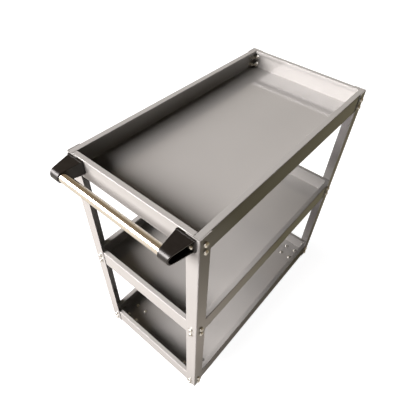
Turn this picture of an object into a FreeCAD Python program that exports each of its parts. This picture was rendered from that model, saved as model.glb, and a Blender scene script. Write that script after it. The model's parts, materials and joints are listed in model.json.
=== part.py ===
import FreeCAD, Part
import math
import os

from FreeCAD import Placement, Rotation, Vector

# Three-tier steel tool cart, in millimetres. +X runs along the cart, away from the handle.
# +Y is the left side of someone pushing it, +Z is up, and the floor is at Z = 0.
# The origin is under the middle of the whole object's box, on the floor.

# ---------------------------------------------------------------- driving dimensions
CART_LENGTH = 760.0          # over the uprights, along X
CART_WIDTH = 405.0           # over the uprights, along Y
FRAME_HEIGHT = 792.0         # length of an upright
CASTER_HEIGHT = 98.0         # floor to the underside of the bottom tray
WHEEL_DIAMETER = 75.0

UPRIGHT_FLANGE = 36.0
UPRIGHT_THICKNESS = 2.0
UPRIGHT_BEND = 3.0           # outer radius of the angle's bend
UPRIGHT_EDGE = 0.5           # rounding of the sheared edges under the paint

TRAY_HEIGHT = 61.0
TRAY_THICKNESS = 1.2
TRAY_LONG_HEM = 16.0         # width of the inward fold along the long sides
TRAY_SHORT_HEM = 14.0
TRAY_LIP = 8.0               # height of the lip turned down from the fold
TRAY_FOLD = 2.0              # outer radius where a wall turns into its hem
TRAY_FLOOR_BEND = 2.4        # outer radius where the floor turns up into a wall
TRAY_CORNER = 1.6            # outer radius of the vertical corners
TRAY_LIP_FOLD = 1.1          # outer radius where the hem turns down into its lip
HEM_JOINT = 1.2              # gap where a short hem meets a long one

BOLT_FROM_CORNER = 19.0      # frame bolts, from the upright's outer corner
BOLT_DROPS = (25.0, 50.0)    # frame bolts, below the tray's rim
FRAME_BOLT_LENGTH = 16.0
HANDLE_BOLT_LENGTH = 20.0
CASTER_BOLT_LENGTH = 12.0
CLEAR_HOLE_M8 = 4.5          # radius
CLEAR_HOLE_M6 = 3.3          # radius
HOLE_REACH = 7.0             # a hole's drill goes this deep, past the upright and the tray's wall

HANDLE_REACH = 50.5          # tube axis, out from the handle-end face
HANDLE_DROP = 20.5           # tube axis, below the rim
TUBE_RADIUS = 12.0
TUBE_WALL = 1.5
BRACKET_BASE = (8.0, 58.0)   # across the cart, from its side
BRACKET_END = (23.0, 49.0)   # across the cart at the round end
BRACKET_HEIGHTS = (2.0, 39.0)  # below the rim
BRACKET_FLANGE = 5.0
BRACKET_WALL = 3.0
BRACKET_ROUND = 15.0         # radius of the round end
BRACKET_BOLTS = (19.0, 44.5)   # across the cart, from its side
SOCKET_FLOOR = 34.0          # where the tube's end stops, from the cart's side

BRACKET_EDGE = 1.2           # rounding of the moulded outer edges
BRACKET_PAD_INSET = 2.0      # the pad behind the flange stops this short of its inner edge
BRACKET_PAD_GAP = 0.5        # between that pad and the upright's edge
FLANGE_CORNER = 1.0
FLANGE_EDGE = 0.6

CASTER_INSET = 59.5          # plate centre from the end face and from the side face
CASTER_PATTERN = (47.0, 40.0)
CASTER_PLATE = (64.0, 57.0, 2.5)
PLATE_CORNER = 6.0
CASTER_TRAIL = 25.0          # axle behind the swivel axis
TYRE_WIDTH = 25.0
TYRE_SHOULDER = 3.5
RIM_RADIUS = 28.0            # where the tyre sits on the wheel's core
HUB_RADIUS = 11.0
HUB_HALF = 14.5              # half the hub's width
WEB_HALF = 4.0               # half the web's thickness
POCKET = (17.7, 3.6)         # lightening pockets: circle radius, own radius
POCKET_COUNT = 6
SLEEVE_RADIUS = 6.0          # the sleeve that the wheel turns on
FORK_INSIDE = 15.5           # half the width between the fork's legs
FORK_SHEET = 2.5
FORK_TOP = 85.0              # top of a swivel fork's crown
FORK_SHOULDERS = (-15.0, 43.0)  # X of the legs' upper corners, from the swivel axis
FORK_CORNER = 8.0
PIVOT_BOSS = 7.0             # leg's corner about the brake's pin
AXLE_BOSS = 11.0
HOUSING_SHOULDER = (10.0, 6.0)  # rigid legs' upper corners: X from the axle, radius
SKIRT = (23.5, 1.8, 7.0)     # dust skirt under a swivel plate: radius, wall, depth
RACE_RADIUS = 20.5
RACE_LIP = 1.2               # the upper race is this much wider than the lower one
RACE_BORE = 9.0
RACE_HEIGHTS = (3.0, 3.5)    # upper and lower race
BALL_RADIUS = 3.0
BALL_CIRCLE = 15.5
BALL_COUNT = 14
KINGPIN_RADIUS = 5.0
KINGPIN_HEAD = (10.0, 4.0, 2.5)  # radius, height, rounding
BRAKE_PIVOT = (58.0, 70.0)   # X from the swivel axis, Z from the floor
BRAKE_PIN_RADIUS = 2.5
BRAKE_PIN_CAP = (4.0, 1.2)   # radius, thickness
BRAKE_HUB = 5.5
BRAKE_LOBE_RADIUS = 3.0
BRAKE_LOBE_ANGLE = 30.0      # lobe stands this far off the wheel with the brake released
BRAKE_STOP_GAP = 0.4         # lobe to tyre with the pedal down
PEDAL_SLACK = 1.5            # pedal to each fork leg
PEDAL_TILT = 18.0            # degrees, toe up
PEDAL_REACH = (3.0, 15.0, 36.0)  # root, knee and toe, out from the pin along the tilt
PEDAL_RISE = (1.5, 3.0, -1.0)    # the same three, above the tilted line
PEDAL_HALF_SHEET = 2.2
PEDAL_RIB = 0.9              # radius of a grip rib
PEDAL_RIB_COUNT = 4
RUNNING_GAP = 0.06           # radial clearance of what turns
SEAT_GAP = 0.1               # clearance of what is assembled and stays
OVERCUT = 1.0                # how far a cutter runs past the face that it leaves

# screws: radius, across flats, pan head's radius, head height, nut height, washer radius and pitch
M8 = {"radius": 4.0, "flats": 13.0, "pan": 6.5, "head": 5.3, "nut": 6.5, "washer": 8.0, "pitch": 1.25}
M6 = {"radius": 3.0, "flats": 10.0, "pan": 5.5, "head": 4.0, "nut": 5.0, "washer": 6.25, "pitch": 1.0}
PAN_ROUNDING = 0.7           # of the head's height
RECESS = (0.34, 1.5, 0.45)   # cross recess: arm width and span of the screw's radius, depth of the head
WASHER_THICKNESS = 1.6
THREAD_DEPTH = 0.6           # of the pitch
THREAD_TURNS = 4             # grooves at a screw's tip


# ---------------------------------------------------------------- derived places
HANDLE_OVERHANG = HANDLE_REACH + BRACKET_ROUND
TOTAL_LENGTH = HANDLE_OVERHANG + CART_LENGTH + M8["head"]
HANDLE_END = HANDLE_OVERHANG - TOTAL_LENGTH / 2
FAR_END = HANDLE_END + CART_LENGTH
MIDDLE_X = (HANDLE_END + FAR_END) / 2
RIGHT_SIDE = -CART_WIDTH / 2
RIM = CASTER_HEIGHT + FRAME_HEIGHT
TIER_PITCH = (FRAME_HEIGHT - TRAY_HEIGHT) / 2
TRAY_RIMS = {"top": RIM, "middle": RIM - TIER_PITCH, "bottom": RIM - 2 * TIER_PITCH}
AXLE_HEIGHT = WHEEL_DIAMETER / 2
PLATE_UNDERSIDE = CASTER_HEIGHT - CASTER_PLATE[2]
BALL_HEIGHT = (PLATE_UNDERSIDE + FORK_TOP) / 2
FORK_OUTSIDE = FORK_INSIDE + FORK_SHEET
TUBE_X = HANDLE_END - HANDLE_REACH
TUBE_Z = RIM - HANDLE_DROP
BRACKET_SPAN = (RIM - BRACKET_HEIGHTS[1], RIM - BRACKET_HEIGHTS[0])

X_AXIS = Vector(1, 0, 0)
Y_AXIS = Vector(0, 1, 0)
Z_AXIS = Vector(0, 0, 1)
CENTRE = Vector(0, 0, 0)
CLOSE = 1e-4                 # two lengths nearer than this are the same


# ---------------------------------------------------------------- small helpers
def box(x_span, y_span, z_span):
    corner = Vector(x_span[0], y_span[0], z_span[0])
    size = [span[1] - span[0] for span in (x_span, y_span, z_span)]
    return Part.makeBox(size[0], size[1], size[2], corner)


def rod(radius, start, axis, length):
    return Part.makeCylinder(radius, length, start, axis)


def tube(outer, inner, start, axis, length):
    return rod(outer, start, axis, length).cut(rod(inner, start, axis, length))


def extrude_xz(points, y_span):
    """A plate with a straight-sided outline in X and Z, filling y_span."""
    corners = [Vector(x, y_span[0], z) for x, z in points]
    face = Part.Face(Part.makePolygon(corners + corners[:1]))
    return face.extrude(Vector(0, y_span[1] - y_span[0], 0))


def link_xz(first, second, y_span):
    """A plate whose outline in X and Z wraps two circles, each given as x, z, radius."""
    (x1, z1, r1), (x2, z2, r2) = first, second
    heading = math.atan2(z2 - z1, x2 - x1)
    lean = math.acos((r1 - r2) / math.hypot(x2 - x1, z2 - z1))
    corners = []
    for x, z, radius, side in ((x1, z1, r1, 1), (x2, z2, r2, 1), (x2, z2, r2, -1), (x1, z1, r1, -1)):
        angle = heading + side * lean
        corners.append((x + radius * math.cos(angle), z + radius * math.sin(angle)))
    plate = extrude_xz(corners, y_span)
    width = y_span[1] - y_span[0]
    for x, z, radius in (first, second):
        plate = plate.fuse(rod(radius, Vector(x, y_span[0], z), Y_AXIS, width))
    return plate.removeSplitter()


def straight_edges(shape, test):
    """The straight edges that pass the test, which is given the edge and its middle point."""
    chosen = []
    for edge in shape.Edges:
        ends = [vertex.Point for vertex in (edge.Vertexes[0], edge.Vertexes[-1])]
        straight = near(ends[0].distanceToPoint(ends[1]), edge.Length)
        if straight and test(edge, (ends[0] + ends[1]) / 2):
            chosen.append(edge)
    return chosen


def runs_along(edge, axis):
    ends = edge.Vertexes[-1].Point - edge.Vertexes[0].Point
    return near(abs(ends.dot(axis)), ends.Length)


def near(value, target):
    return abs(value - target) < CLOSE


def placed(shape, point, direction):
    """A copy of a shape made along +Z, turned to the direction and moved to the point."""
    copy = shape.copy()
    copy.Placement = Placement(point, Rotation(Z_AXIS, direction))
    return copy


def mirror_side(shape):
    return shape.mirror(CENTRE, Y_AXIS)


def mirror_end(shape):
    return shape.mirror(Vector(MIDDLE_X, 0, 0), X_AXIS)


# ---------------------------------------------------------------- fasteners, made along +Z
def hexagon(size, height, bore):
    """A hexagonal prism from z = 0 up, its top corners chamfered at 30 degrees."""
    corner_radius = size["flats"] / math.sqrt(3)
    turns = [math.radians(60 * i) for i in range(6)]
    corners = [Vector(corner_radius * math.cos(a), corner_radius * math.sin(a), 0) for a in turns]
    prism = Part.Face(Part.makePolygon(corners + corners[:1])).extrude(Vector(0, 0, height))
    top_radius = 0.95 * size["flats"] / 2
    crown = Part.makeCone(top_radius + height * math.sqrt(3), top_radius, height)
    prism = prism.common(crown)
    if bore:
        prism = prism.cut(rod(size["radius"] + SEAT_GAP, CENTRE, Z_AXIS, height))
    return prism


def pan_head(size):
    """A round head with a domed edge and a cross recess."""
    height = size["head"]
    head = rod(size["pan"], CENTRE, Z_AXIS, height)
    rim = [e for e in head.Edges if isinstance(e.Curve, Part.Circle) and near(e.Curve.Center.z, height)]
    head = head.makeFillet(PAN_ROUNDING * height, rim)
    half_width, half_span = (share * size["radius"] / 2 for share in RECESS[:2])
    depth = (height - RECESS[2] * height, height + OVERCUT)
    arms = [box((-half_span, half_span), (-half_width, half_width), depth),
            box((-half_width, half_width), (-half_span, half_span), depth)]
    return head.cut(arms)


def bolt(size, length, head):
    """The head above z = 0, a shank below it with the last turns of the thread as grooves."""
    radius, pitch = size["radius"], size["pitch"]
    depth = THREAD_DEPTH * pitch
    thread_top = -length + depth + THREAD_TURNS * pitch
    points = [CENTRE, Vector(radius, 0, 0)]
    for i in range(THREAD_TURNS):
        crest = thread_top - i * pitch
        points.append(Vector(radius, 0, crest))
        points.append(Vector(radius - depth, 0, crest - pitch / 2))
    points.append(Vector(radius, 0, -length + depth))
    points.append(Vector(radius - depth, 0, -length))
    points.append(Vector(0, 0, -length))
    profile = Part.Face(Part.makePolygon(points + points[:1]))
    shank = profile.revolve(CENTRE, Z_AXIS, 360)
    return head.fuse(shank).removeSplitter()


def nut(size):
    return hexagon(size, size["nut"], True)


def washer(size):
    bore = size["radius"] + 2 * SEAT_GAP
    return tube(size["washer"], bore, CENTRE, Z_AXIS, WASHER_THICKNESS)


class FastenerGroup:
    """Bolts through a stack of sheets, each with a washer and a nut on its far side."""

    def __init__(self, size, length, head_washer=False):
        self.size = size
        self.pieces = (bolt(size, length, pan_head(size)), washer(size), nut(size))
        self.head_washer = head_washer
        self.bolts, self.washers, self.nuts = [], [], []

    def add(self, outside, outward, grip):
        """outside: where the head's side of the stack is. outward: away from the stack."""
        bolt_shape, washer_shape, nut_shape = self.pieces
        head_seat = outside
        if self.head_washer:
            self.washers.append(placed(washer_shape, outside, outward))
            head_seat = outside + outward * WASHER_THICKNESS
        self.bolts.append(placed(bolt_shape, head_seat, outward))
        inside = outside - outward * grip
        inward = outward * -1
        if not self.head_washer:
            self.washers.append(placed(washer_shape, inside, inward))
            inside = inside + inward * WASHER_THICKNESS
        self.nuts.append(placed(nut_shape, inside, inward))


# ---------------------------------------------------------------- frame and trays
def bolt_drops_on_end(tray_name, at_handle):
    """Drops of an end wall's holes. At the top tray's handle end only the bracket's bolt passes through."""
    if tray_name == "top" and at_handle:
        return BOLT_DROPS[:1]
    return BOLT_DROPS


def corner_bolt_drills(tray_name, at_handle, depth):
    """Drills at one right-hand corner of a tray, drawn at the handle end, from outside the upright."""
    rim = TRAY_RIMS[tray_name]
    drills = []
    for drop in bolt_drops_on_end(tray_name, at_handle):
        start = Vector(HANDLE_END - OVERCUT, RIGHT_SIDE + BOLT_FROM_CORNER, rim - drop)
        drills.append(rod(CLEAR_HOLE_M8, start, X_AXIS, OVERCUT + depth))
    for drop in BOLT_DROPS:
        start = Vector(HANDLE_END + BOLT_FROM_CORNER, RIGHT_SIDE - OVERCUT, rim - drop)
        drills.append(rod(CLEAR_HOLE_M8, start, Y_AXIS, OVERCUT + depth))
    return drills


def upright(at_handle):
    """The right-hand upright of the handle end, or of the far end drawn at the handle end."""
    x_span = (HANDLE_END, HANDLE_END + UPRIGHT_FLANGE)
    y_span = (RIGHT_SIDE, RIGHT_SIDE + UPRIGHT_FLANGE)
    z_span = (CASTER_HEIGHT, RIM)
    inner_x = HANDLE_END + UPRIGHT_THICKNESS
    inner_y = RIGHT_SIDE + UPRIGHT_THICKNESS
    inside = box((inner_x, x_span[1] + OVERCUT), (inner_y, y_span[1] + OVERCUT),
                 (z_span[0] - OVERCUT, z_span[1] + OVERCUT))
    angle = box(x_span, y_span, z_span).cut(inside)
    for x, y, radius in ((x_span[0], y_span[0], UPRIGHT_BEND),
                         (inner_x, inner_y, UPRIGHT_BEND - UPRIGHT_THICKNESS)):
        bends = straight_edges(angle, lambda e, m: near(m.x, x) and near(m.y, y))
        angle = angle.makeFillet(radius, bends)
    angle = angle.makeFillet(UPRIGHT_EDGE, straight_edges(
        angle, lambda e, m: runs_along(e, Z_AXIS) and (near(m.x, x_span[1]) or near(m.y, y_span[1]))))
    for tray_name in TRAY_RIMS:
        angle = angle.cut(corner_bolt_drills(tray_name, at_handle, UPRIGHT_THICKNESS + OVERCUT))
    return angle


def tray_shell(rim):
    """Floor, four walls, and the rim folded inwards and down, as one sheet."""
    x0, x1 = HANDLE_END + UPRIGHT_THICKNESS, FAR_END - UPRIGHT_THICKNESS
    y1 = CART_WIDTH / 2 - UPRIGHT_THICKNESS
    base = rim - TRAY_HEIGHT
    lip_foot = rim - TRAY_LIP
    sheet = TRAY_THICKNESS
    outside = box((x0, x1), (-y1, y1), (base, rim))
    outside = outside.makeFillet(TRAY_CORNER, straight_edges(
        outside, lambda e, m: runs_along(e, Z_AXIS)))
    outside = outside.makeFillet(TRAY_FLOOR_BEND, straight_edges(outside, lambda e, m: near(m.z, base)))
    outside = outside.makeFillet(TRAY_FOLD, straight_edges(outside, lambda e, m: near(m.z, rim)))
    inside = box((x0 + sheet, x1 - sheet), (-y1 + sheet, y1 - sheet), (base + sheet, rim - sheet))
    inside = inside.makeFillet(TRAY_FLOOR_BEND - sheet, straight_edges(
        inside, lambda e, m: near(m.z, base + sheet)))
    mouth_x = (x0 + TRAY_SHORT_HEM, x1 - TRAY_SHORT_HEM)
    mouth_y = (-y1 + TRAY_LONG_HEM, y1 - TRAY_LONG_HEM)
    lip = box((mouth_x[0] - sheet, mouth_x[1] + sheet), (mouth_y[0] - sheet, mouth_y[1] + sheet),
              (lip_foot, rim))
    lip = lip.cut(box(mouth_x, mouth_y, (lip_foot - OVERCUT, rim + OVERCUT)))
    mouth = box(mouth_x, mouth_y, (lip_foot, rim + OVERCUT))
    shell = outside.cut(inside.cut(lip)).cut(mouth)
    fold = straight_edges(shell, lambda e, m: near(m.z, rim) and (
        near(abs(m.y), mouth_y[1]) or near(m.x, mouth_x[0]) or near(m.x, mouth_x[1])))
    return shell.makeFillet(TRAY_LIP_FOLD, fold)


def hem_joints(rim):
    """Cutters for the open joints at the rim's corners, beside and across the long hems' ends."""
    x0 = HANDLE_END + UPRIGHT_THICKNESS
    y0 = RIGHT_SIDE + UPRIGHT_THICKNESS
    joint_y = (y0 + TRAY_LONG_HEM, y0 + TRAY_LONG_HEM + HEM_JOINT)
    beside = box((x0 + TRAY_THICKNESS, x0 + TRAY_SHORT_HEM + OVERCUT), joint_y,
                 (rim - TRAY_LIP - OVERCUT, rim + OVERCUT))
    across = box((x0 - OVERCUT, x0 + TRAY_THICKNESS + SEAT_GAP), (y0 - OVERCUT, joint_y[1]),
                 (rim - TRAY_FOLD - HEM_JOINT / 2, rim + OVERCUT))
    corner = beside.fuse(across)
    pair = [corner, mirror_side(corner)]
    return pair + [mirror_end(cutter) for cutter in pair]


def frame_bolt_holes(tray_name):
    """Cutters for the frame bolts through a tray's walls, at all four corners."""
    cutters = []
    for at_handle in (True, False):
        drills = corner_bolt_drills(tray_name, at_handle, HOLE_REACH)
        cutters += drills if at_handle else [mirror_end(drill) for drill in drills]
    return cutters + [mirror_side(drill) for drill in cutters]


def handle_bolt_holes():
    start = Vector(HANDLE_END - OVERCUT, RIGHT_SIDE + BRACKET_BOLTS[1], RIM - BOLT_DROPS[0])
    hole = rod(CLEAR_HOLE_M8, start, X_AXIS, OVERCUT + HOLE_REACH)
    return [hole, mirror_side(hole)]


def caster_centres():
    """Where the four caster plates sit, as (x, y)."""
    y = CART_WIDTH / 2 - CASTER_INSET
    return {
        "handle_right": (HANDLE_END + CASTER_INSET, -y),
        "handle_left": (HANDLE_END + CASTER_INSET, y),
        "far_right": (FAR_END - CASTER_INSET, -y),
        "far_left": (FAR_END - CASTER_INSET, y),
    }


def pattern_points(x, y):
    half_x, half_y = CASTER_PATTERN[0] / 2, CASTER_PATTERN[1] / 2
    return [(x + i * half_x, y + j * half_y) for i in (-1, 1) for j in (-1, 1)]


def caster_bolt_holes():
    cutters = []
    for x, y in caster_centres().values():
        for px, py in pattern_points(x, y):
            start = Vector(px, py, CASTER_HEIGHT - OVERCUT)
            cutters.append(rod(CLEAR_HOLE_M6, start, Z_AXIS, TRAY_THICKNESS + 2 * OVERCUT))
    return cutters


def tray(name):
    cutters = hem_joints(TRAY_RIMS[name]) + frame_bolt_holes(name)
    if name == "top":
        cutters += handle_bolt_holes()
    if name == "bottom":
        cutters += caster_bolt_holes()
    return tray_shell(TRAY_RIMS[name]).cut(cutters)


def frame_fasteners():
    group = FastenerGroup(M8, FRAME_BOLT_LENGTH)
    grip = UPRIGHT_THICKNESS + TRAY_THICKNESS
    for tray_name, rim in TRAY_RIMS.items():
        for side in (-1, 1):
            for end_x, outward in ((HANDLE_END, X_AXIS * -1), (FAR_END, X_AXIS)):
                bolt_y = side * (CART_WIDTH / 2 - BOLT_FROM_CORNER)
                taken = tray_name == "top" and end_x == HANDLE_END
                for drop in () if taken else BOLT_DROPS:
                    group.add(Vector(end_x, bolt_y, rim - drop), outward, grip)
                bolt_x = end_x - outward.x * BOLT_FROM_CORNER
                for drop in BOLT_DROPS:
                    group.add(Vector(bolt_x, side * CART_WIDTH / 2, rim - drop), Y_AXIS * side, grip)
    return group


# ---------------------------------------------------------------- handle
def handle_tube():
    half = CART_WIDTH / 2 - SOCKET_FLOOR - SEAT_GAP
    start = Vector(TUBE_X, -half, TUBE_Z)
    return tube(TUBE_RADIUS, TUBE_RADIUS - TUBE_WALL, start, Y_AXIS, 2 * half)


def bracket_side_outline(inset, y_span):
    """The bracket seen from the side: a tall base running out to a round end about the tube."""
    top = RIM - BRACKET_HEIGHTS[0] - inset
    bottom = RIM - BRACKET_HEIGHTS[1] + inset
    base_x = HANDLE_END - inset
    radius = BRACKET_ROUND - inset
    middle = (top + bottom) / 2
    half = (top - bottom) / 2
    reach = base_x - TUBE_X
    outline = [(base_x, bottom), (base_x, top)]
    for side in (1, -1):
        rise = middle + side * half - TUBE_Z
        distance = math.hypot(reach, rise)
        angle = math.atan2(rise, reach) + side * math.acos(radius / distance)
        outline.append((TUBE_X + radius * math.cos(angle), TUBE_Z + radius * math.sin(angle)))
    wedge = extrude_xz(outline, y_span)
    start = Vector(TUBE_X, y_span[0], TUBE_Z)
    return wedge.fuse(rod(radius, start, Y_AXIS, y_span[1] - y_span[0])).removeSplitter()


def bracket_plan(wall):
    """The bracket seen from above: wide at the cart, narrow at the tube.

    A wall of 0 gives the outer form, and any other gives the hollow, which is open on the outer side.
    """
    low, high = BRACKET_SPAN[0] - OVERCUT, BRACKET_SPAN[1] + OVERCUT
    end_x = TUBE_X - BRACKET_ROUND - OVERCUT
    open_side = BRACKET_BASE[0] if wall else 0.0
    points = [
        Vector(HANDLE_END, RIGHT_SIDE + BRACKET_BASE[0] + BRACKET_PAD_INSET - open_side, low),
        Vector(HANDLE_END, RIGHT_SIDE + BRACKET_BASE[1] - wall, low),
        Vector(end_x, RIGHT_SIDE + BRACKET_END[1] - wall, low),
        Vector(end_x, RIGHT_SIDE + BRACKET_END[0] - open_side, low),
    ]
    face = Part.Face(Part.makePolygon(points + points[:1]))
    return face.extrude(Vector(0, 0, high - low))


def rounded_bracket_body(y_span):
    """The bracket's outer form, with its long edges rounded from the flange to the round end."""
    body = bracket_side_outline(0.0, y_span).common(bracket_plan(0.0))
    edges = []
    for edge in body.Edges:
        bounds = edge.BoundBox
        on_cart = near(bounds.XMin, HANDLE_END) and near(bounds.XMax, HANDLE_END)
        across = near(bounds.YLength, edge.Length)
        if not on_cart and not across:
            edges.append(edge)
    return body.makeFillet(BRACKET_EDGE, edges)


def bracket_flange():
    """The plate that is bolted to the upright, its corners and outer edges rounded."""
    outer_x = HANDLE_END - BRACKET_FLANGE
    flange = box((outer_x, HANDLE_END),
                 (RIGHT_SIDE + BRACKET_BASE[0], RIGHT_SIDE + BRACKET_BASE[1]), BRACKET_SPAN)
    flange = flange.makeFillet(FLANGE_CORNER, straight_edges(flange, lambda e, m: runs_along(e, X_AXIS)))
    front = [e for e in flange.Edges if near(e.BoundBox.XMin, outer_x) and near(e.BoundBox.XMax, outer_x)]
    return flange.makeFillet(FLANGE_EDGE, front)


def handle_bracket():
    """The right-hand bracket: a moulded shell, open on the outer side, with a blind socket."""
    y_span = (RIGHT_SIDE, RIGHT_SIDE + BRACKET_BASE[1] + OVERCUT)
    body = rounded_bracket_body(y_span)
    hollow = bracket_side_outline(BRACKET_WALL, y_span).common(bracket_plan(BRACKET_WALL))
    socket_wall_y = RIGHT_SIDE + SOCKET_FLOOR - BRACKET_WALL
    socket_end_y = RIGHT_SIDE + BRACKET_BASE[1]
    socket_start = Vector(TUBE_X, socket_wall_y, TUBE_Z)
    hollow = hollow.cut(rod(BRACKET_ROUND, socket_start, Y_AXIS, socket_end_y - socket_wall_y))
    hollow = hollow.cut(box((HANDLE_END - BRACKET_FLANGE, HANDLE_END + OVERCUT), y_span, BRACKET_SPAN))
    pad_y = (RIGHT_SIDE + UPRIGHT_FLANGE + BRACKET_PAD_GAP, socket_end_y - BRACKET_PAD_INSET)
    pad = box((HANDLE_END, HANDLE_END + UPRIGHT_THICKNESS), pad_y, BRACKET_SPAN)
    body = body.cut(hollow).fuse([bracket_flange(), pad])
    bore_start = Vector(TUBE_X, RIGHT_SIDE + SOCKET_FLOOR, TUBE_Z)
    body = body.cut(rod(TUBE_RADIUS + SEAT_GAP, bore_start, Y_AXIS, BRACKET_BASE[1]))
    for across in BRACKET_BOLTS:
        start = Vector(HANDLE_END - BRACKET_FLANGE - OVERCUT, RIGHT_SIDE + across, RIM - BOLT_DROPS[0])
        depth = BRACKET_FLANGE + UPRIGHT_THICKNESS + 2 * OVERCUT
        body = body.cut(rod(CLEAR_HOLE_M8, start, X_AXIS, depth))
    return body.removeSplitter()


def handle_fasteners():
    group = FastenerGroup(M8, HANDLE_BOLT_LENGTH)
    for across in BRACKET_BOLTS:
        for side in (-1, 1):
            y = side * (CART_WIDTH / 2 - across)
            seat = Vector(HANDLE_END - BRACKET_FLANGE, y, RIM - BOLT_DROPS[0])
            grip = BRACKET_FLANGE + UPRIGHT_THICKNESS + TRAY_THICKNESS
            group.add(seat, X_AXIS * -1, grip)
    return group


# ---------------------------------------------------------------- casters
# Each is drawn with its plate's centre over the origin and its wheel trailing towards +X.
def caster_fasteners():
    group = FastenerGroup(M6, CASTER_BOLT_LENGTH, head_washer=True)
    grip = TRAY_THICKNESS + CASTER_PLATE[2]
    for x, y in caster_centres().values():
        for px, py in pattern_points(x, y):
            group.add(Vector(px, py, CASTER_HEIGHT + TRAY_THICKNESS), Z_AXIS, grip)
    return group


def caster_plate():
    """The bare bolt-on plate, its corners rounded."""
    half_x, half_y, thickness = CASTER_PLATE[0] / 2, CASTER_PLATE[1] / 2, CASTER_PLATE[2]
    plate = box((-half_x, half_x), (-half_y, half_y), (PLATE_UNDERSIDE, CASTER_HEIGHT))
    plate = plate.makeFillet(PLATE_CORNER, straight_edges(plate, lambda e, m: runs_along(e, Z_AXIS)))
    for px, py in pattern_points(0, 0):
        start = Vector(px, py, PLATE_UNDERSIDE - OVERCUT)
        plate = plate.cut(rod(CLEAR_HOLE_M6, start, Z_AXIS, thickness + 2 * OVERCUT))
    return plate


def race_groove():
    return Part.makeTorus(BALL_CIRCLE, BALL_RADIUS + RUNNING_GAP, Vector(0, 0, BALL_HEIGHT), Z_AXIS)


def swivel_plate():
    """Plate with the upper race under it and a skirt that keeps dirt out of the balls."""
    skirt_radius, skirt_wall, skirt_depth = SKIRT
    race_start = Vector(0, 0, PLATE_UNDERSIDE - RACE_HEIGHTS[0])
    skirt_start = Vector(0, 0, PLATE_UNDERSIDE - skirt_depth)
    race = tube(RACE_RADIUS + RACE_LIP, RACE_BORE, race_start, Z_AXIS, RACE_HEIGHTS[0])
    skirt = tube(skirt_radius, skirt_radius - skirt_wall, skirt_start, Z_AXIS, skirt_depth)
    plate = caster_plate().fuse([race, skirt]).removeSplitter().cut(race_groove())
    bore_start = Vector(0, 0, PLATE_UNDERSIDE - OVERCUT)
    return plate.cut(rod(KINGPIN_RADIUS + SEAT_GAP, bore_start, Z_AXIS, CASTER_PLATE[2] + 2 * OVERCUT))


def bearing_balls():
    balls = []
    for i in range(BALL_COUNT):
        angle = 2 * math.pi * i / BALL_COUNT
        centre = Vector(BALL_CIRCLE * math.cos(angle), BALL_CIRCLE * math.sin(angle), BALL_HEIGHT)
        balls.append(Part.makeSphere(BALL_RADIUS, centre))
    return Part.makeCompound(balls)


def kingpin():
    """A rivet: a wide domed head under the fork's crown, its shank set in the plate."""
    head_radius, head_height, rounding = KINGPIN_HEAD
    head_top = FORK_TOP - FORK_SHEET - RUNNING_GAP
    head_bottom = head_top - head_height
    head = rod(head_radius, Vector(0, 0, head_bottom), Z_AXIS, head_height)
    rim = [e for e in head.Edges if near(e.BoundBox.ZMax, head_bottom)]
    head = head.makeFillet(rounding, rim)
    shank_start = Vector(0, 0, head_top - OVERCUT)
    shank = rod(KINGPIN_RADIUS, shank_start, Z_AXIS, CASTER_HEIGHT - SEAT_GAP - shank_start.z)
    return head.fuse(shank).removeSplitter()


def leg_outline(circles, across):
    """A plate wrapped round a closed ring of circles, each given as x, z, radius."""
    outline = extrude_xz([circle[:2] for circle in circles], across)
    for first, second in zip(circles, circles[1:] + circles[:1]):
        outline = outline.fuse(link_xz(first, second, across))
    return outline


def axle_hole(x):
    outside = FORK_OUTSIDE + OVERCUT
    return rod(M8["radius"] + SEAT_GAP, Vector(x, -outside, AXLE_HEIGHT), Y_AXIS, 2 * outside)


def swivel_fork():
    """A channel bent over the wheel, its legs cut to shape, with the lower race on its crown."""
    shoulder_z = FORK_TOP - FORK_CORNER
    front = (FORK_SHOULDERS[0], shoulder_z, FORK_CORNER)
    rear = (FORK_SHOULDERS[1], shoulder_z, FORK_CORNER)
    pivot = (BRAKE_PIVOT[0], BRAKE_PIVOT[1], PIVOT_BOSS)
    axle = (CASTER_TRAIL, AXLE_HEIGHT, AXLE_BOSS)
    ends = (front[0] - 2 * FORK_CORNER, pivot[0] + 2 * FORK_CORNER)
    floor = AXLE_HEIGHT - 2 * AXLE_BOSS
    channel = box(ends, (-FORK_OUTSIDE, FORK_OUTSIDE), (floor, FORK_TOP)).cut(
        box((ends[0] - OVERCUT, ends[1] + OVERCUT), (-FORK_INSIDE, FORK_INSIDE),
            (floor - OVERCUT, FORK_TOP - FORK_SHEET)))
    channel = channel.makeFillet(FORK_SHEET, straight_edges(
        channel, lambda e, m: runs_along(e, X_AXIS) and near(m.z, FORK_TOP)))
    across = (-FORK_OUTSIDE - OVERCUT, FORK_OUTSIDE + OVERCUT)
    fork = channel.common(leg_outline([front, rear, pivot, axle], across))
    crown_top = Vector(0, 0, FORK_TOP)
    crown = rod(SKIRT[0], crown_top - Z_AXIS * FORK_SHEET, Z_AXIS, FORK_SHEET)
    race = tube(RACE_RADIUS, RACE_BORE, crown_top, Z_AXIS, RACE_HEIGHTS[1])
    fork = fork.fuse([crown, race]).removeSplitter().cut(race_groove())
    pin_start = crown_top - Z_AXIS * (FORK_SHEET + OVERCUT)
    fork = fork.cut(rod(KINGPIN_RADIUS + RUNNING_GAP, pin_start, Z_AXIS, FORK_SHEET + 2 * OVERCUT))
    brake_start = Vector(BRAKE_PIVOT[0], across[0], BRAKE_PIVOT[1])
    brake_hole = rod(BRAKE_PIN_RADIUS + SEAT_GAP, brake_start, Y_AXIS, across[1] - across[0])
    return fork.cut([axle_hole(CASTER_TRAIL), brake_hole])


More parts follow.
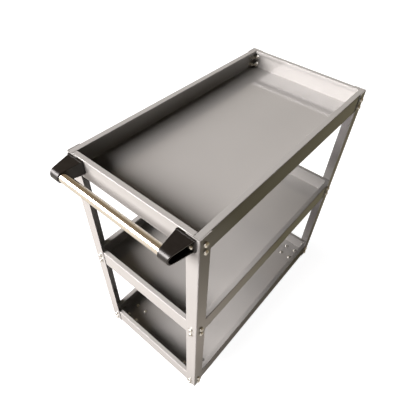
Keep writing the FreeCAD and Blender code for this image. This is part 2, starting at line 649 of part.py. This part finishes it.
def rigid_housing():
    """Plate and channel in one, the axle right under the plate's middle."""
    across = (-FORK_OUTSIDE, FORK_OUTSIDE)
    shoulder_x, shoulder_radius = HOUSING_SHOULDER
    shoulders = [(x, PLATE_UNDERSIDE - shoulder_radius, shoulder_radius) for x in (-shoulder_x, shoulder_x)]
    legs = leg_outline(shoulders + [(0.0, AXLE_HEIGHT, AXLE_BOSS)], across)
    reach = shoulder_x + WHEEL_DIAMETER
    gap = box((-reach, reach), (-FORK_INSIDE, FORK_INSIDE), (0, PLATE_UNDERSIDE - FORK_SHEET))
    housing = caster_plate().fuse(legs.cut(gap)).removeSplitter()
    return housing.cut(axle_hole(0.0))


def revolve_about_axle(points):
    """Turns an outline of (radius, y) points about the axle."""
    corners = [Vector(0, y, radius) for radius, y in points]
    face = Part.Face(Part.makePolygon(corners + corners[:1]))
    solid = face.revolve(CENTRE, Y_AXIS, 360)
    solid.translate(Vector(0, 0, AXLE_HEIGHT))
    return solid


def wheel_core():
    """Moulded wheel centre: hub, dished web with a ring of round lightening holes, and rim."""
    bore, rim_half = SLEEVE_RADIUS + RUNNING_GAP, TYRE_WIDTH / 2 - 2
    half = [(bore, HUB_HALF), (HUB_RADIUS, HUB_HALF), (HUB_RADIUS + 0.5, WEB_HALF),
            (RIM_RADIUS - 4.0, WEB_HALF), (RIM_RADIUS - 3.0, rim_half), (RIM_RADIUS, rim_half)]
    core = revolve_about_axle(half + [(radius, -y) for radius, y in reversed(half)])
    circle, radius = POCKET
    pockets = []
    for i in range(POCKET_COUNT):
        angle = 2 * math.pi * i / POCKET_COUNT
        start = Vector(circle * math.cos(angle), -WEB_HALF - OVERCUT, AXLE_HEIGHT + circle * math.sin(angle))
        pockets.append(rod(radius, start, Y_AXIS, 2 * (WEB_HALF + OVERCUT)))
    return core.cut(pockets)


def tyre():
    """Rubber tread ring with rounded shoulders."""
    half_width, outer = TYRE_WIDTH / 2, WHEEL_DIAMETER / 2
    start = Vector(0, -half_width, AXLE_HEIGHT)
    ring = tube(outer, RIM_RADIUS, start, Y_AXIS, TYRE_WIDTH)
    shoulders = [e for e in ring.Edges if isinstance(e.Curve, Part.Circle) and near(e.Curve.Radius, outer)]
    return ring.makeFillet(TYRE_SHOULDER, shoulders)


def axle_sleeve():
    start = Vector(0, -FORK_INSIDE, AXLE_HEIGHT)
    return tube(SLEEVE_RADIUS, M8["radius"] + SEAT_GAP, start, Y_AXIS, 2 * FORK_INSIDE)


def axle_bolt():
    length = 2 * FORK_OUTSIDE + M8["nut"] + 2 * OVERCUT
    hex_bolt = bolt(M8, length, hexagon(M8, M8["head"], False))
    return placed(hex_bolt, Vector(0, FORK_OUTSIDE, AXLE_HEIGHT), Y_AXIS)


def axle_nut():
    return placed(nut(M8), Vector(0, -FORK_OUTSIDE, AXLE_HEIGHT), Y_AXIS * -1)


def pedal_points():
    """Root, knee and toe of the pedal's plate, each as x, z, radius."""
    tilt = math.radians(PEDAL_TILT)
    points = []
    for reach, rise in zip(PEDAL_REACH, PEDAL_RISE):
        x = BRAKE_PIVOT[0] + reach * math.cos(tilt)
        z = BRAKE_PIVOT[1] + reach * math.sin(tilt) + rise
        points.append((x, z, PEDAL_HALF_SHEET))
    return points


def brake_pedal():
    """A foot lever on the fork's pin, with a lobe that turns onto the tyre."""
    x, z = BRAKE_PIVOT
    half = FORK_INSIDE - PEDAL_SLACK
    across = (-half, half)
    angle = math.atan2(AXLE_HEIGHT - z, CASTER_TRAIL - x) + math.radians(BRAKE_LOBE_ANGLE)
    to_tyre = math.hypot(AXLE_HEIGHT - z, CASTER_TRAIL - x) - WHEEL_DIAMETER / 2
    reach = to_tyre - BRAKE_STOP_GAP - BRAKE_LOBE_RADIUS
    tip = (x + reach * math.cos(angle), z + reach * math.sin(angle), BRAKE_LOBE_RADIUS)
    lobe = link_xz((x, z, BRAKE_HUB), tip, across)
    root, knee, toe = pedal_points()
    pedal = lobe.fuse([link_xz(root, knee, across), link_xz(knee, toe, across)])
    ribs = []
    for i in range(PEDAL_RIB_COUNT):
        share = (i + 1) / (PEDAL_RIB_COUNT + 1)
        rib_x = knee[0] + share * (toe[0] - knee[0])
        rib_z = knee[1] + share * (toe[1] - knee[1]) + PEDAL_HALF_SHEET
        ribs.append(rod(PEDAL_RIB, Vector(rib_x, -half + 2, rib_z), Y_AXIS, 2 * half - 4))
    pedal = pedal.fuse(ribs).removeSplitter()
    bore_start = Vector(x, -half - OVERCUT, z)
    return pedal.cut(rod(BRAKE_PIN_RADIUS + RUNNING_GAP, bore_start, Y_AXIS, 2 * (half + OVERCUT)))


def brake_pin():
    """A plain pin riveted over on both sides of the fork."""
    x, z = BRAKE_PIVOT
    cap_radius, cap = BRAKE_PIN_CAP
    pin = rod(BRAKE_PIN_RADIUS, Vector(x, -FORK_OUTSIDE, z), Y_AXIS, 2 * FORK_OUTSIDE)
    caps = [rod(cap_radius, Vector(x, y, z), Y_AXIS, cap) for y in (-FORK_OUTSIDE - cap, FORK_OUTSIDE)]
    return pin.fuse(caps).removeSplitter()


def wheel_parts(axle_x):
    parts = {"wheel_core": wheel_core(), "tyre": tyre(), "axle_sleeve": axle_sleeve(),
             "axle_bolt": axle_bolt(), "axle_nut": axle_nut()}
    for shape in parts.values():
        shape.translate(Vector(axle_x, 0, 0))
    return parts


def swivel_caster():
    parts = {"swivel_plate": swivel_plate(), "bearing_balls": bearing_balls(), "kingpin": kingpin(),
             "swivel_fork": swivel_fork(), "brake_pedal": brake_pedal(), "brake_pin": brake_pin()}
    parts.update(wheel_parts(CASTER_TRAIL))
    return parts


def rigid_caster():
    parts = {"rigid_housing": rigid_housing()}
    parts.update(wheel_parts(0.0))
    return parts


# ---------------------------------------------------------------- the whole cart
def all_nodes():
    nodes = {}
    handle_upright, far_upright = upright(True), mirror_end(upright(False))
    nodes["upright_handle_right"] = handle_upright
    nodes["upright_handle_left"] = mirror_side(handle_upright)
    nodes["upright_far_right"] = far_upright
    nodes["upright_far_left"] = mirror_side(far_upright)
    for name in TRAY_RIMS:
        nodes[name + "_tray"] = tray(name)
    nodes["handle_tube"] = handle_tube()
    nodes["handle_bracket_right"] = handle_bracket()
    nodes["handle_bracket_left"] = mirror_side(nodes["handle_bracket_right"])
    groups = {"frame": frame_fasteners(), "handle": handle_fasteners(), "caster": caster_fasteners()}
    for name, group in groups.items():
        nodes[name + "_bolts"] = Part.makeCompound(group.bolts)
        nodes[name + "_washers"] = Part.makeCompound(group.washers)
        nodes[name + "_nuts"] = Part.makeCompound(group.nuts)
    for corner, (x, y) in caster_centres().items():
        parts = swivel_caster() if corner.startswith("handle") else rigid_caster()
        for piece, shape in parts.items():
            shape.translate(Vector(x, y, 0))
            nodes[piece + "_" + corner] = shape
    return nodes


os.makedirs("parts", exist_ok=True)
for node_name, node_shape in all_nodes().items():
    print(node_name, len(node_shape.Solids), node_shape.isValid(), round(node_shape.Volume, 1))
    node_shape.exportStep("parts/" + node_name + ".step")
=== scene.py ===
import bmesh
import bpy
import json
import math
from mathutils import Matrix, Vector

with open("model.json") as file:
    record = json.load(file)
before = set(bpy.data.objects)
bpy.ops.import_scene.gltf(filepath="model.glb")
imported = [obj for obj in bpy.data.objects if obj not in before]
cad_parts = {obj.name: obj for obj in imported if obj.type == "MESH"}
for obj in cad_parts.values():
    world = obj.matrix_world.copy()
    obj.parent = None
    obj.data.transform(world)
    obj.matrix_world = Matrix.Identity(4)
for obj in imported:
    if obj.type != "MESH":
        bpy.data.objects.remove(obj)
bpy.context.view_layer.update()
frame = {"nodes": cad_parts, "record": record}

# The viewpoint: above the handle end's right-hand corner, looking down along the cart.
CAMERA_PLACE = Vector((-0.6860, -0.4729, 1.4417))
CAMERA_AZIMUTH = -52.70      # degrees, 0 looks along +Y
CAMERA_ELEVATION = 46.73     # degrees above the horizon
CAMERA_ROLL = 3.28           # degrees, the camera's right-hand side raised
CAMERA_LENS = 32.47          # millimetres
CAMERA_SENSOR = 36.0         # millimetres across

# Lights: azimuth 0 is the handle's end and 90 the left side. Angles are in degrees.
AIM = Vector((0.03, 0.0, 0.6))          # the point that every lamp faces
KEY = (29.5, 31.0, 6.5)      # azimuth, elevation, distance in metres
KEY_SIZE = (6.3, 3.1)
KEY_RADIANCE = 21.3
KEY_TINT = (1.0, 0.946, 0.938)
FILL = (0.010, 0.009, 0.007)            # light from all round
ROOM = (0.26, 0.20, 0.13)    # what polished surfaces mirror
ROOM_RADIUS = 14.0
ROOM_LOBES = (               # azimuth, elevation, inner and outer half-angle, colour
    (30.0, -5.0, 38.0, 50.0, (1.05, 0.95, 0.82)),
    (157.0, 25.0, 12.0, 30.0, (0.60, 0.54, 0.45)),
)
LOW = (12.0, -7.0, 3.2)      # a weak lamp by the floor that stands in for light off the floor
LOW_SIZE = (3.0, 0.8)
LOW_RADIANCE = 4.5
LOW_TINT = (1.0, 0.88, 0.91)
BACK = (165.0, 2.0, 4.0)     # a weak lamp beyond the far end, for the faces that the key never reaches
BACK_SIZE = (3.0, 1.5)
BACK_RADIANCE = 1.4

# The floor as the cart mirrors it. X runs away from the handle and Y to the left, in metres.
BOUNCE_RADIUS = 6.0
BOUNCE_DROP = 0.002          # how far it lies under the floor that the camera sees
FLOOR_TONE = (0.06, 0.06, 0.05)         # base colour, which the lamps light
FLOOR_FRONT = (0.85, 0.78, 0.70)        # glow before the handle's end
FLOOR_FRONT_X = (-0.25, -0.45)          # where that glow starts and where it is full
FLOOR_BESIDE = ((0.93, 0.81, 0.71), (0.30, 0.26, 0.165))   # glow right of the cart, near end and far end
FLOOR_BESIDE_X = (-0.30, 0.45)          # where the near colour ends and the far colour is full
FLOOR_BESIDE_Y = (-0.18, -0.32)         # where that glow starts and where it is full


# ---------------------------------------------------------------- material helpers
class Shader:
    """A new material and short ways to add the nodes that most of them need."""

    def __init__(self, name, **values):
        self.material = bpy.data.materials.new(name)
        self.material.use_nodes = True
        self.tree = self.material.node_tree
        self.nodes = self.tree.nodes
        self.bsdf = self.nodes["Principled BSDF"]
        self.place = self.nodes.new("ShaderNodeTexCoord").outputs["Object"]
        self.set(**values)

    def set(self, **values):
        """Sets the shader's own sockets. Underscores in a name stand for spaces."""
        for name, value in values.items():
            self.bsdf.inputs[name.replace("_", " ")].default_value = value

    def link(self, output, socket):
        """Feeds one node's output into a socket."""
        self.tree.links.new(output, socket)

    def stretched(self, scale):
        """Object coordinates scaled differently along X, Y and Z."""
        mapping = self.nodes.new("ShaderNodeMapping")
        mapping.inputs["Scale"].default_value = scale
        self.link(self.place, mapping.inputs["Vector"])
        return mapping.outputs["Vector"]

    def noise(self, scale, detail=3.0, roughness=0.5, place=None):
        """Cloudy noise between 0 and 1, with about that many clouds to a metre."""
        node = self.nodes.new("ShaderNodeTexNoise")
        node.inputs["Scale"].default_value = scale
        node.inputs["Detail"].default_value = detail
        node.inputs["Roughness"].default_value = roughness
        self.link(place or self.place, node.inputs["Vector"])
        return node.outputs["Fac"]

    def spread(self, value, low, high, to_low=0.0, to_high=1.0, curve="LINEAR"):
        """Maps a value from low..high to to_low..to_high, clamped. curve can be SMOOTHSTEP."""
        node = self.nodes.new("ShaderNodeMapRange")
        node.interpolation_type = curve
        for name, number in (("From Min", low), ("From Max", high), ("To Min", to_low), ("To Max", to_high)):
            node.inputs[name].default_value = number
        self.link(value, node.inputs["Value"])
        return node.outputs["Result"]

    def blend(self, factor, first, second):
        """Mixes two colours, each a tuple or another node's output."""
        node = self.nodes.new("ShaderNodeMix")
        node.data_type = "RGBA"
        # The node has an A, a B and a Result for each data type, so the colour ones go by number.
        sockets = {"Factor": node.inputs[0], "A": node.inputs[6], "B": node.inputs[7]}
        for name, value in (("Factor", factor), ("A", first), ("B", second)):
            if isinstance(value, tuple):
                sockets[name].default_value = value
            else:
                self.link(value, sockets[name])
        return node.outputs[2]

    def bumps(self, *layers):
        """Stacks height layers, each (height output, distance in metres, strength), into the normal."""
        normal = None
        for height, distance, strength in layers:
            node = self.nodes.new("ShaderNodeBump")
            node.inputs["Distance"].default_value = distance
            node.inputs["Strength"].default_value = strength
            self.link(height, node.inputs["Height"])
            if normal is not None:
                self.link(normal, node.inputs["Normal"])
            normal = node.outputs["Normal"]
        self.link(normal, self.bsdf.inputs["Normal"])


# ---------------------------------------------------------------- materials
def powder_coat():
    """Light grey gloss powder coat: orange peel, slow waviness, dark specks, faint handling marks."""
    shader = Shader("grey_powder_coat", Specular_IOR_Level=0.5, IOR=1.6)
    shade = shader.spread(shader.noise(5.0, 4.0), 0.3, 0.7)
    tone = shader.blend(shade, (0.328, 0.323, 0.312, 1.0), (0.341, 0.336, 0.324, 1.0))
    speck = shader.spread(shader.noise(420.0, 2.0), 0.74, 0.80, 0.0, 0.30)
    tone = shader.blend(speck, tone, (0.20, 0.195, 0.19, 1.0))
    shader.link(tone, shader.bsdf.inputs["Base Color"])
    smudge = shader.spread(shader.noise(9.0, 5.0, 0.55), 0.35, 0.75, 0.09, 0.14)
    shader.link(smudge, shader.bsdf.inputs["Roughness"])
    peel = shader.noise(500.0, 1.0)
    wave = shader.noise(6.0, 0.0)
    shader.bumps((wave, 0.0003, 0.2), (peel, 0.00001, 0.3))
    return shader.material


def handle_steel():
    """Bright plated tube, drawn lengthwise, with fine scratches along it."""
    shader = Shader("handle_steel", Metallic=1.0)
    lines = shader.noise(1.0, 3.0, place=shader.stretched((900.0, 3.0, 900.0)))
    tone = shader.blend(shader.spread(lines, 0.3, 0.7), (0.72, 0.67, 0.60, 1.0), (0.84, 0.80, 0.74, 1.0))
    mark = shader.spread(shader.noise(1.0, 2.0, place=shader.stretched((700.0, 60.0, 700.0))),
                         0.68, 0.74, 0.0, 0.5)
    tone = shader.blend(mark, tone, (0.50, 0.44, 0.37, 1.0))
    shader.link(tone, shader.bsdf.inputs["Base Color"])
    shader.link(shader.spread(lines, 0.25, 0.75, 0.14, 0.20), shader.bsdf.inputs["Roughness"])
    shader.bumps((lines, 0.00001, 0.5))
    return shader.material


def moulded_black(name, tone, roughness):
    """Black moulded plastic: fine spark-eroded grain and uneven sheen."""
    shader = Shader(name, Specular_IOR_Level=0.5)
    gain, lift, dulling = 1.3, 0.001, 0.06      # what wear does to the tone and to the roughness
    worn = shader.spread(shader.noise(90.0, 4.0, 0.55), 0.45, 0.85)
    worn_tone = tuple(channel * gain + lift for channel in tone)
    shader.link(shader.blend(worn, (*tone, 1.0), (*worn_tone, 1.0)), shader.bsdf.inputs["Base Color"])
    sheen = shader.spread(worn, 0.0, 1.0, roughness, roughness + dulling)
    shader.link(sheen, shader.bsdf.inputs["Roughness"])
    grain = shader.noise(1500.0, 2.0)
    shader.bumps((grain, 0.00001, 0.5))
    return shader.material


def zinc(name, light, dark, roughness):
    """Zinc plate over steel: cloudy, faintly yellow in places, with small dull marks."""
    shader = Shader(name, Metallic=1.0)
    dulling = 0.16               # what the clouds add to the roughness
    cloud = shader.noise(180.0, 4.0, 0.6)
    tone = shader.blend(shader.spread(cloud, 0.35, 0.7), (*light, 1.0), (*dark, 1.0))
    tint = shader.spread(shader.noise(90.0, 2.0), 0.5, 0.7, 0.0, 0.35)
    tone = shader.blend(tint, tone, (0.68, 0.62, 0.44, 1.0))
    shader.link(tone, shader.bsdf.inputs["Base Color"])
    sheen = shader.spread(cloud, 0.3, 0.7, roughness, roughness + dulling)
    shader.link(sheen, shader.bsdf.inputs["Roughness"])
    shader.bumps((shader.noise(2200.0, 2.0), 0.00002, 0.5))
    return shader.material


def solid_rubber():
    """Dark grey solid rubber, dull, with patches of dust."""
    shader = Shader("tyre_rubber", Specular_IOR_Level=0.35)
    dust = shader.spread(shader.noise(120.0, 5.0, 0.65), 0.45, 0.75, 0.0, 0.6)
    tone = shader.blend(dust, (0.035, 0.035, 0.037, 1.0), (0.13, 0.125, 0.12, 1.0))
    shader.link(tone, shader.bsdf.inputs["Base Color"])
    shader.link(shader.spread(dust, 0.0, 0.6, 0.55, 0.8), shader.bsdf.inputs["Roughness"])
    shader.bumps((shader.noise(900.0, 3.0), 0.0001, 0.5))
    return shader.material


MATERIALS = {
    "grey_powder_coat": powder_coat(),
    "handle_steel": handle_steel(),
    "bracket_plastic": moulded_black("bracket_plastic", (0.005, 0.004, 0.004), 0.32),
    "brake_plastic": moulded_black("brake_plastic", (0.018, 0.018, 0.019), 0.40),
    "wheel_plastic": moulded_black("wheel_plastic", (0.030, 0.030, 0.032), 0.42),
    "zinc_fastener": zinc("zinc_fastener", (0.76, 0.76, 0.74), (0.60, 0.60, 0.58), 0.22),
    "caster_zinc": zinc("caster_zinc", (0.70, 0.70, 0.70), (0.54, 0.54, 0.54), 0.28),
    "tyre_rubber": solid_rubber(),
}

for subpart in frame["record"]["subparts"]:
    piece = frame["nodes"][subpart["node"]]
    piece.data.materials.clear()
    piece.data.materials.append(MATERIALS[subpart["material_slot"]])


# ---------------------------------------------------------------- stage, light and camera
def mesh_object(name, bm, material):
    """A new object of one material from a bmesh, which is used up."""
    mesh = bpy.data.meshes.new(name)
    bm.to_mesh(mesh)
    bm.free()
    mesh.materials.append(material)
    made = bpy.data.objects.new(name, mesh)
    bpy.context.scene.collection.objects.link(made)
    return made


def floor():
    """A plain pale floor, turned up into a low wall far away on all sides."""
    flat = 7.0                   # radius of the flat part
    turn = 3.0                   # radius of the bend
    wall = 9.0                   # height of the wall's top edge
    turn_steps = 8
    segments = 96
    profile = [(flat, 0.0)]
    for step in range(1, turn_steps + 1):
        angle = math.pi / 2 * step / turn_steps
        profile.append((flat + turn * math.sin(angle), turn - turn * math.cos(angle)))
    profile.append((flat + turn, wall))
    bm = bmesh.new()
    rings = []
    for radius, height in profile:
        ring = []
        for i in range(segments):
            angle = 2 * math.pi * i / segments
            ring.append(bm.verts.new((radius * math.cos(angle), radius * math.sin(angle), height)))
        rings.append(ring)
    bm.faces.new(rings[0])
    for low, high in zip(rings, rings[1:]):
        for i in range(segments):
            j = (i + 1) % segments
            bm.faces.new((low[i], high[i], high[j], low[j]))
    shader = Shader("floor", Base_Color=(0.30, 0.30, 0.30, 1.0), Roughness=0.9, Specular_IOR_Level=0.0,
                    Emission_Color=(1.0, 1.0, 1.0, 1.0), Emission_Strength=0.95)
    cove = mesh_object("floor", bm, shader.material)
    cove.data.shade_smooth()
    cove.visible_diffuse = False
    cove.visible_glossy = False
    cove.visible_shadow = False


def direction_from(azimuth, elevation):
    """The unit vector towards a place in the room. Azimuth 0 is the handle's end, 90 is the left side."""
    across, up = math.radians(azimuth), math.radians(elevation)
    return Vector((-math.cos(up) * math.cos(across), math.cos(up) * math.sin(across), math.sin(up)))


def lobed_colour(shader, direction, base, lobes):
    """A base colour with soft round patches of other colours in given directions."""
    colour = (*base, 1.0)
    for azimuth, elevation, inner, outer, tint in lobes:
        dot = shader.nodes.new("ShaderNodeVectorMath")
        dot.operation = "DOT_PRODUCT"
        dot.inputs[1].default_value = direction_from(azimuth, elevation)
        shader.link(direction, dot.inputs[0])
        rim, core = (math.cos(math.radians(angle)) for angle in (outer, inner))
        share = shader.spread(dot.outputs["Value"], rim, core, curve="SMOOTHSTEP")
        colour = shader.blend(share, colour, (*tint, 1.0))
    return colour


def world_light():
    """The weak light from all round that fills the shadows."""
    world = bpy.data.worlds.new("studio")
    bpy.context.scene.world = world
    world.use_nodes = True
    world.node_tree.nodes["Background"].inputs["Color"].default_value = (*FILL, 1.0)


def room():
    """A large sphere that only reflections show: brown walls with paler patches at both ends."""
    bm = bmesh.new()
    bmesh.ops.create_uvsphere(bm, u_segments=48, v_segments=24, radius=ROOM_RADIUS)
    shader = Shader("room", Base_Color=(0.0, 0.0, 0.0, 1.0), Roughness=1.0, Specular_IOR_Level=0.0,
                    Emission_Strength=1.0)
    radial = shader.nodes.new("ShaderNodeVectorMath")
    radial.operation = "NORMALIZE"
    shader.link(shader.place, radial.inputs[0])
    colour = lobed_colour(shader, radial.outputs["Vector"], ROOM, ROOM_LOBES)
    shader.link(colour, shader.bsdf.inputs["Emission Color"])
    shell = mesh_object("room", bm, shader.material)
    shell.data.shade_smooth()
    shell.visible_camera = False
    shell.visible_diffuse = False
    shell.visible_shadow = False
    shell.visible_transmission = False


def bounce_floor():
    """The floor as the cart mirrors it: bright before the handle's end and right of the cart."""
    bm = bmesh.new()
    bmesh.ops.create_circle(bm, cap_ends=True, segments=64, radius=BOUNCE_RADIUS)
    shader = Shader("bounce_floor", Base_Color=(*FLOOR_TONE, 1.0), Roughness=0.9, Specular_IOR_Level=0.0,
                    Emission_Strength=1.0)
    split = shader.nodes.new("ShaderNodeSeparateXYZ")
    shader.link(shader.place, split.inputs["Vector"])
    beside = shader.spread(split.outputs["Y"], *FLOOR_BESIDE_Y)
    before = shader.spread(split.outputs["X"], *FLOOR_FRONT_X)
    along = shader.spread(split.outputs["X"], *FLOOR_BESIDE_X)
    glow = shader.blend(along, *((*tone, 1.0) for tone in FLOOR_BESIDE))
    glow = shader.blend(beside, (0.0, 0.0, 0.0, 1.0), glow)
    glow = shader.blend(before, glow, (*FLOOR_FRONT, 1.0))
    shader.link(glow, shader.bsdf.inputs["Emission Color"])
    disc = mesh_object("bounce_floor", bm, shader.material)
    disc.location.z = -BOUNCE_DROP
    disc.visible_camera = False
    disc.visible_diffuse = False
    disc.visible_shadow = False


def softbox(name, azimuth, elevation, distance, size, radiance, tint, mirrored=True):
    """A rectangular lamp that faces AIM. radiance is what its surface shows.

    A lamp that isn't mirrored lights the cart and leaves no highlight on it.
    """
    lamp = bpy.data.lights.new(name, "AREA")
    lamp.shape = "RECTANGLE"
    lamp.size, lamp.size_y = size
    lamp.energy = radiance * size[0] * size[1] * math.pi
    lamp.color = tint
    lamp_object = bpy.data.objects.new(name, lamp)
    bpy.context.scene.collection.objects.link(lamp_object)
    toward = direction_from(azimuth, elevation)
    lamp_object.location = AIM + toward * distance
    lamp_object.rotation_euler = (-toward).to_track_quat("-Z", "Y").to_euler()
    lamp_object.visible_camera = False
    lamp_object.visible_glossy = mirrored


def camera():
    """The camera at the viewpoint, turned by its azimuth, elevation and roll."""
    azimuth, elevation, roll = (math.radians(a) for a in (CAMERA_AZIMUTH, CAMERA_ELEVATION, CAMERA_ROLL))
    back = Vector((math.sin(azimuth) * math.cos(elevation), -math.cos(azimuth) * math.cos(elevation),
                   math.sin(elevation)))
    right = Vector((0, 0, 1)).cross(back).normalized()
    up = back.cross(right)
    rolled_right = right * math.cos(roll) + up * math.sin(roll)
    rolled_up = up * math.cos(roll) - right * math.sin(roll)
    turn = Matrix((rolled_right, rolled_up, back)).transposed().to_4x4()
    data = bpy.data.cameras.new("camera")
    data.lens = CAMERA_LENS
    data.sensor_width = CAMERA_SENSOR
    data.clip_start = 0.01
    view = bpy.data.objects.new("camera", data)
    bpy.context.scene.collection.objects.link(view)
    view.matrix_world = Matrix.Translation(CAMERA_PLACE) @ turn
    bpy.context.scene.camera = view


floor()
bounce_floor()
room()
world_light()
softbox("key", *KEY, KEY_SIZE, KEY_RADIANCE, KEY_TINT)
softbox("low", *LOW, LOW_SIZE, LOW_RADIANCE, LOW_TINT, mirrored=False)
softbox("back", *BACK, BACK_SIZE, BACK_RADIANCE, KEY_TINT, mirrored=False)
camera()
bpy.context.scene.view_settings.view_transform = "Standard"
